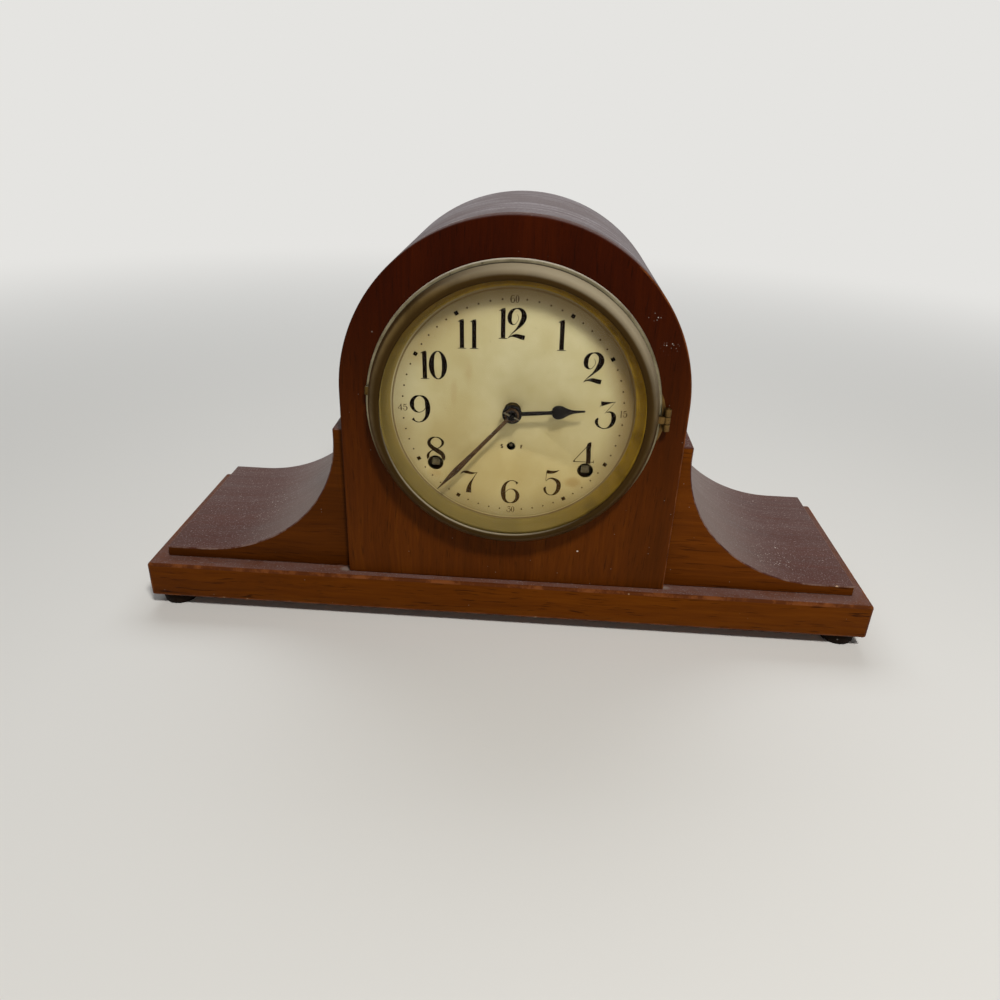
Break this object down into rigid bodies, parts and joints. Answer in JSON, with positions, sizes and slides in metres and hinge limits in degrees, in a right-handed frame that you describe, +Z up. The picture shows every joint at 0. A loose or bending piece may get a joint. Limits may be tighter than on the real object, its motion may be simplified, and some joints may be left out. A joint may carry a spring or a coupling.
{
  "type": "tambour mantel clock",
  "caption": "Wooden mantel clock with an arched body, coved wings, a round glazed dial that opens on a hinge, a back door, and a wound movement with pendulum and coiled gong.",
  "frame": {"origin": "on the table, under the middle of the clock", "axes": "+X along the front to the right, +Y from the dial to the back, +Z up"},
  "size_m": [0.397, 0.1386, 0.2175],
  "materials": {
    "mahogany": "old satin varnish, dusty",
    "dark_mahogany": "old satin varnish, worn at the edges",
    "ebonised_wood": "matt black stain",
    "antique_brass": "dull antique brass with tarnish",
    "gilt_brass": "bright gilt",
    "plain_brass": "unlacquered",
    "steel": "plain",
    "black_steel": "browned black",
    "iron": "black japanned",
    "cream_dial": "aged cream lacquer",
    "clear_glass": "domed, clear"
  },
  "bodies": {
    "case": {"plinth": "mahogany", "foot_front_left": "ebonised_wood", "foot_front_right": "ebonised_wood", "foot_back_left": "ebonised_wood", "foot_back_right": "ebonised_wood", "wing_left": "mahogany", "wing_right": "mahogany", "front_panel": "dark_mahogany", "arch_wrap": "mahogany", "back_board": "mahogany", "back_hinge_leaf_lower": "plain_brass", "back_hinge_leaf_upper": "plain_brass", "dial": "cream_dial", "bezel_seat": "antique_brass", "bezel_hinge": "antique_brass", "front_plate": "plain_brass", "back_plate": "plain_brass", "time_mainspring": "steel", "strike_mainspring": "steel", "suspension_post": "plain_brass", "gong_coil": "steel", "gong_block": "iron"},
    "bezel": {"bezel_rim": "antique_brass", "bezel_glass": "clear_glass", "sight_ring": "gilt_brass"},
    "door": {"back_door": "mahogany", "door_hinge_leaf_lower": "plain_brass", "door_hinge_leaf_upper": "plain_brass", "door_knob": "plain_brass"},
    "minute_arbor": {"centre_arbor": "plain_brass", "minute_hand": "black_steel", "hand_washer": "black_steel", "hand_pin": "black_steel"},
    "hour_pipe": {"hour_wheel": "plain_brass", "hour_hand": "black_steel"},
    "motion_wheel": {"minute_wheel": "plain_brass"},
    "time_second": {"second_wheel": "plain_brass"},
    "time_great": {"time_great_wheel": "plain_brass"},
    "time_winding": {"time_winder": "steel"},
    "time_pawl": {"time_click": "steel"},
    "time_third": {"third_wheel": "plain_brass"},
    "time_escape": {"escape_wheel": "plain_brass"},
    "anchor": {"verge": "steel"},
    "pendulum": {"suspension_spring": "steel", "pendulum_rod": "steel", "pendulum_bob": "plain_brass", "rating_nut": "plain_brass"},
    "regulator": {"regulator_arbor": "steel"},
    "regulator_rack": {"regulator_slide": "plain_brass"},
    "strike_great": {"strike_great_wheel": "plain_brass", "count_wheel": "plain_brass"},
    "strike_winding": {"strike_winder": "steel"},
    "strike_pawl": {"strike_click": "steel"},
    "strike_pins": {"pin_wheel": "plain_brass"},
    "strike_warning": {"warning_wheel": "plain_brass"},
    "strike_fly": {"fly": "plain_brass"},
    "hammer": {"hammer_arbor": "steel", "hammer_head": "plain_brass"}
  },
  "joints": [
    {"name": "bezel_swing", "type": "hinge", "parent": "case", "child": "bezel", "pos_m": [0.0753, -0.05825, 0.1265], "axis": [0, 0, 1], "range_deg": [0, 110]},
    {"name": "door_swing", "type": "hinge", "parent": "case", "child": "door", "pos_m": [-0.0516, 0.06235, 0.0895], "axis": [0, 0, 1], "range_deg": [0, 115]},
    {"name": "minute_turn", "type": "hinge", "parent": "case", "child": "minute_arbor", "pos_m": [0, 0, 0.1265], "axis": [0, 1, 0], "continuous": true},
    {"name": "motion_turn", "type": "hinge", "parent": "case", "child": "motion_wheel", "pos_m": [-0.00849, 0, 0.13499], "axis": [0, 1, 0], "continuous": true},
    {"name": "hour_turn", "type": "hinge", "parent": "case", "child": "hour_pipe", "pos_m": [0, 0, 0.1265], "axis": [0, 1, 0], "continuous": true},
    {"name": "time_second_turn", "type": "hinge", "parent": "case", "child": "time_second", "pos_m": [0.01986, 0, 0.118], "axis": [0, 1, 0], "continuous": true},
    {"name": "time_great_turn", "type": "hinge", "parent": "case", "child": "time_great", "pos_m": [0.0381, 0, 0.0963], "axis": [0, 1, 0], "continuous": true},
    {"name": "time_winding_turn", "type": "hinge", "parent": "time_great", "child": "time_winding", "pos_m": [0.0381, 0, 0.0963], "axis": [0, 1, 0], "continuous": true},
    {"name": "time_pawl_lift", "type": "hinge", "parent": "time_great", "child": "time_pawl", "pos_m": [0.0481, 0, 0.1033], "axis": [0, -1, 0], "range_deg": [0, 10]},
    {"name": "time_third_turn", "type": "hinge", "parent": "case", "child": "time_third", "pos_m": [-0.00863, 0, 0.14144], "axis": [0, 1, 0], "continuous": true},
    {"name": "time_escape_turn", "type": "hinge", "parent": "case", "child": "time_escape", "pos_m": [0, 0, 0.15435], "axis": [0, 1, 0], "continuous": true},
    {"name": "pendulum_swing", "type": "hinge", "parent": "case", "child": "pendulum", "pos_m": [0, 0, 0.1679], "axis": [0, 1, 0], "range_deg": [-4, 4]},
    {"name": "anchor_rock", "type": "hinge", "parent": "case", "child": "anchor", "pos_m": [0, 0, 0.1679], "axis": [0, 1, 0], "range_deg": [-4, 4]},
    {"name": "regulator_turn", "type": "hinge", "parent": "case", "child": "regulator", "pos_m": [0, 0, 0.1075], "axis": [0, 1, 0], "range_deg": [-75, 75]},
    {"name": "regulator_rise", "type": "slide", "parent": "case", "child": "regulator_rack", "axis": [0, 0, 1], "range_m": [-0.0024, 0.0024]},
    {"name": "strike_pins_turn", "type": "hinge", "parent": "case", "child": "strike_pins", "pos_m": [-0.02109, 0, 0.11657], "axis": [0, 1, 0], "continuous": true},
    {"name": "strike_great_turn", "type": "hinge", "parent": "case", "child": "strike_great", "pos_m": [-0.0381, 0, 0.0963], "axis": [0, 1, 0], "continuous": true},
    {"name": "strike_winding_turn", "type": "hinge", "parent": "strike_great", "child": "strike_winding", "pos_m": [-0.0381, 0, 0.0963], "axis": [0, 1, 0], "continuous": true},
    {"name": "strike_pawl_lift", "type": "hinge", "parent": "strike_great", "child": "strike_pawl", "pos_m": [-0.0481, 0, 0.1033], "axis": [0, 1, 0], "range_deg": [0, 10]},
    {"name": "strike_warning_turn", "type": "hinge", "parent": "case", "child": "strike_warning", "pos_m": [-0.0256, 0, 0.13341], "axis": [0, 1, 0], "continuous": true},
    {"name": "strike_fly_turn", "type": "hinge", "parent": "case", "child": "strike_fly", "pos_m": [-0.03324, 0, 0.14251], "axis": [0, 1, 0], "continuous": true},
    {"name": "hammer_lift", "type": "hinge", "parent": "case", "child": "hammer", "pos_m": [-0.047, 0, 0.1245], "axis": [0, -1, 0], "range_deg": [0, 20]}
  ],
  "couplings": [
    {"joint": "motion_turn", "follows": "minute_turn", "ratio": -0.33333},
    {"joint": "hour_turn", "follows": "minute_turn", "ratio": 0.083333},
    {"joint": "time_second_turn", "follows": "minute_turn", "ratio": -0.33333},
    {"joint": "time_great_turn", "follows": "minute_turn", "ratio": 0.083333},
    {"joint": "time_third_turn", "follows": "minute_turn", "ratio": -10.5},
    {"joint": "time_escape_turn", "follows": "minute_turn", "ratio": 110.25},
    {"joint": "anchor_rock", "follows": "pendulum_swing", "ratio": 1},
    {"joint": "regulator_turn", "follows": "regulator_rise", "rad_per_m": -416.67},
    {"joint": "strike_great_turn", "follows": "strike_pins_turn", "ratio": -0.16667},
    {"joint": "strike_warning_turn", "follows": "strike_pins_turn", "ratio": -6},
    {"joint": "strike_fly_turn", "follows": "strike_pins_turn", "ratio": 30}
  ]
}
